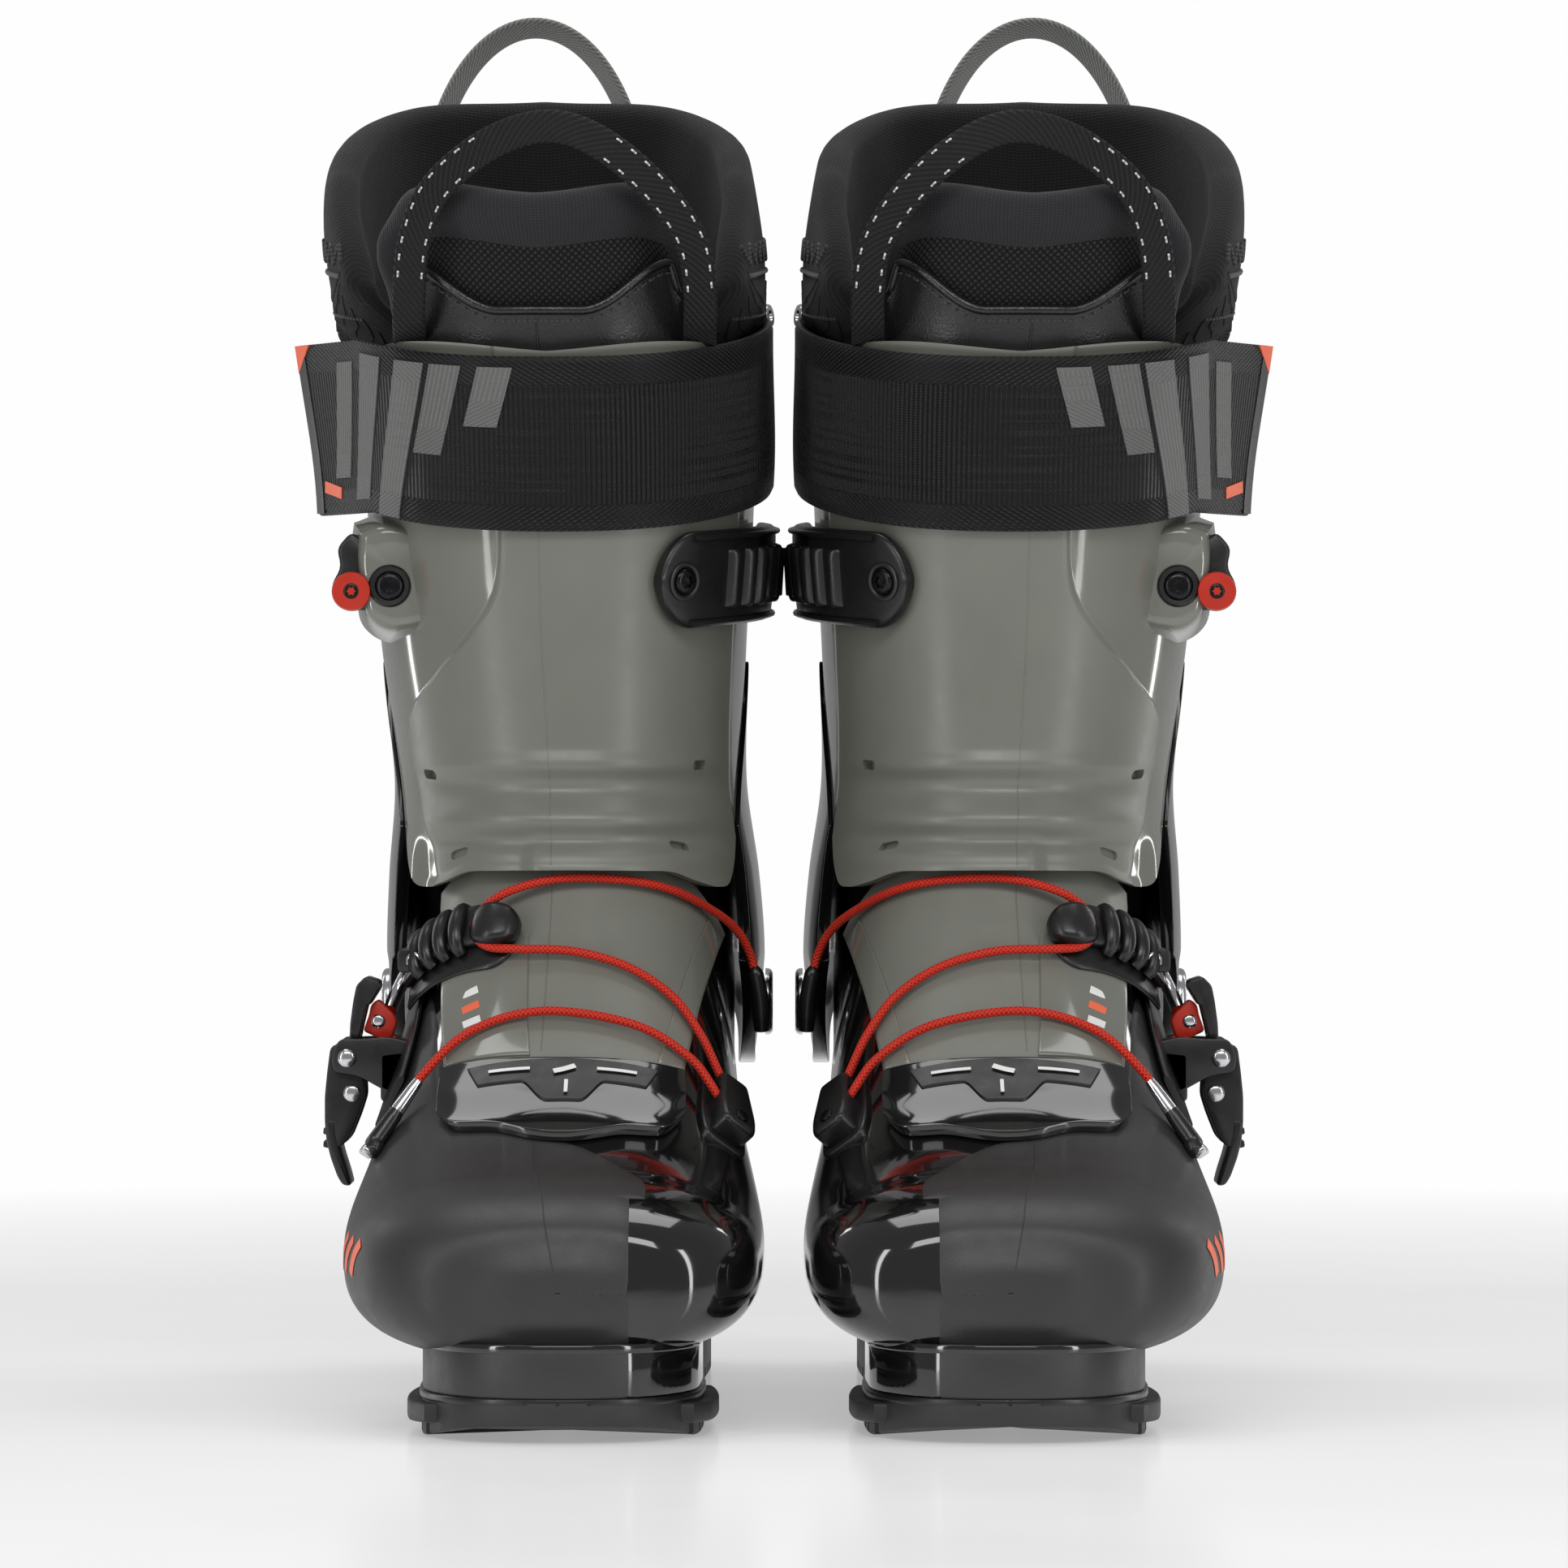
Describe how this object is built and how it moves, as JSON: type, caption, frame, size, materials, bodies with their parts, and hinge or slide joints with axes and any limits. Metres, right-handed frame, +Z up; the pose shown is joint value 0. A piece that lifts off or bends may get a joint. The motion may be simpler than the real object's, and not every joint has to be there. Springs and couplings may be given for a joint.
{
  "type": "alpine ski boots",
  "caption": "Pair of alpine ski boots: hard shells with hinged cuffs, rear spoilers that open, cable-and-lever instep closures and padded liners.",
  "frame": {"origin": "On the ground, in the middle of the box round the pair", "axes": "+Z up; toes point along -Y; the right boot stands at -X and the left boot at +X"},
  "size_m": [0.2626, 0.306, 0.3763],
  "materials": {
    "shell_black": "glossy polyurethane",
    "cuff_grey": "satin warm-grey polyurethane",
    "sole_rubber": "matt moulded grip sole",
    "board_plastic": "plain moulding",
    "liner_cloth": "knit and padded foam",
    "hardware_black": "satin",
    "accent_red": "semi-gloss",
    "cable_red": "braided sleeve",
    "link_red": "woven",
    "bright_metal": "polished",
    "screw_metal": "black oxide",
    "strap_webbing": "ribbed webbing",
    "loop_black": "webbing",
    "loop_grey": "webbing"
  },
  "bodies": {
    "right_shell_body": {"right_lower_shell": "shell_black", "right_instep_flap": "cuff_grey", "right_toe_plate": "shell_black", "right_toe_sole": "sole_rubber", "right_heel_sole": "sole_rubber", "right_boot_board": "board_plastic", "right_liner_foot": "liner_cloth", "right_buckle_base": "hardware_black", "right_instep_strap": "hardware_black", "right_instep_cable": "cable_red", "right_cable_guide": "hardware_black", "right_lateral_pivot_rivet": "bright_metal", "right_medial_pivot_rivet": "bright_metal"},
    "right_cuff_body": {"right_cuff_front": "cuff_grey", "right_cuff_base": "shell_black", "right_boss_screw": "screw_metal", "right_closure_link": "link_red", "right_power_strap": "strap_webbing", "right_ladder_strap": "hardware_black", "right_ladder_screw": "screw_metal", "right_liner_tongue": "liner_cloth", "right_tongue_loop": "loop_black"},
    "right_spoiler_body": {"right_rear_spoiler": "shell_black", "right_liner_collar": "liner_cloth", "right_rear_loop": "loop_grey"},
    "right_rear_lever_body": {"right_rear_lever": "hardware_black"},
    "right_instep_lever_body": {"right_instep_lever": "hardware_black"},
    "right_bail_body": {"right_bail_frame": "hardware_black", "right_adjuster_nut": "accent_red", "right_bail_rod": "bright_metal"},
    "left_shell_body": {"left_lower_shell": "shell_black", "left_instep_flap": "cuff_grey", "left_toe_plate": "shell_black", "left_toe_sole": "sole_rubber", "left_heel_sole": "sole_rubber", "left_boot_board": "board_plastic", "left_liner_foot": "liner_cloth", "left_buckle_base": "hardware_black", "left_instep_strap": "hardware_black", "left_instep_cable": "cable_red", "left_cable_guide": "hardware_black", "left_lateral_pivot_rivet": "bright_metal", "left_medial_pivot_rivet": "bright_metal"},
    "left_cuff_body": {"left_cuff_front": "cuff_grey", "left_cuff_base": "shell_black", "left_boss_screw": "screw_metal", "left_closure_link": "link_red", "left_power_strap": "strap_webbing", "left_ladder_strap": "hardware_black", "left_ladder_screw": "screw_metal", "left_liner_tongue": "liner_cloth", "left_tongue_loop": "loop_black"},
    "left_spoiler_body": {"left_rear_spoiler": "shell_black", "left_liner_collar": "liner_cloth", "left_rear_loop": "loop_grey"},
    "left_rear_lever_body": {"left_rear_lever": "hardware_black"},
    "left_instep_lever_body": {"left_instep_lever": "hardware_black"},
    "left_bail_body": {"left_bail_frame": "hardware_black", "left_adjuster_nut": "accent_red", "left_bail_rod": "bright_metal"}
  },
  "joints": [
    {"name": "right_cuff_flex", "type": "hinge", "parent": "right_shell_body", "child": "right_cuff_body", "pos_m": [-0.056, 0.05, 0.104], "axis": [1, 0, 0], "range_deg": [0, 5], "stiffness_Nm_per_rad": 600, "deforming": ["right_instep_cable"]},
    {"name": "right_spoiler_open", "type": "hinge", "parent": "right_cuff_body", "child": "right_spoiler_body", "pos_m": [-0.056, 0.13051, 0.137], "axis": [-1, 0, 0], "range_deg": [0, 35]},
    {"name": "right_rear_lever_open", "type": "hinge", "parent": "right_spoiler_body", "child": "right_rear_lever_body", "pos_m": [-0.05941, 0.11069, 0.206], "axis": [-1, 0, 0], "range_deg": [0, 100]},
    {"name": "right_instep_lever_open", "type": "hinge", "parent": "right_shell_body", "child": "right_instep_lever_body", "pos_m": [-0.11384, -0.02779, 0.09161], "axis": [0, 1, 0], "range_deg": [0, 100]},
    {"name": "right_bail_swing", "type": "hinge", "parent": "right_instep_lever_body", "child": "right_bail_body", "pos_m": [-0.11264, -0.02779, 0.08241], "axis": [0, 1, 0], "range_deg": [-100, 0]},
    {"name": "left_cuff_flex", "type": "hinge", "parent": "left_shell_body", "child": "left_cuff_body", "pos_m": [0.056, 0.05, 0.104], "axis": [1, 0, 0], "range_deg": [0, 5], "stiffness_Nm_per_rad": 600, "deforming": ["left_instep_cable"]},
    {"name": "left_spoiler_open", "type": "hinge", "parent": "left_cuff_body", "child": "left_spoiler_body", "pos_m": [0.056, 0.13051, 0.137], "axis": [-1, 0, 0], "range_deg": [0, 35]},
    {"name": "left_rear_lever_open", "type": "hinge", "parent": "left_spoiler_body", "child": "left_rear_lever_body", "pos_m": [0.05941, 0.11069, 0.206], "axis": [-1, 0, 0], "range_deg": [0, 100]},
    {"name": "left_instep_lever_open", "type": "hinge", "parent": "left_shell_body", "child": "left_instep_lever_body", "pos_m": [0.11384, -0.02779, 0.09161], "axis": [0, -1, 0], "range_deg": [0, 100]},
    {"name": "left_bail_swing", "type": "hinge", "parent": "left_instep_lever_body", "child": "left_bail_body", "pos_m": [0.11264, -0.02779, 0.08241], "axis": [0, -1, 0], "range_deg": [-100, 0]},
    {"name": "left_boot_lift", "type": "slide", "parent": "right_shell_body", "child": "left_shell_body", "axis": [0, 0, 1], "range_m": [0, 0.4]}
  ],
  "couplings": [
    {"joint": "right_bail_swing", "follows": "right_instep_lever_open", "ratio": -1},
    {"joint": "left_bail_swing", "follows": "left_instep_lever_open", "ratio": -1}
  ]
}
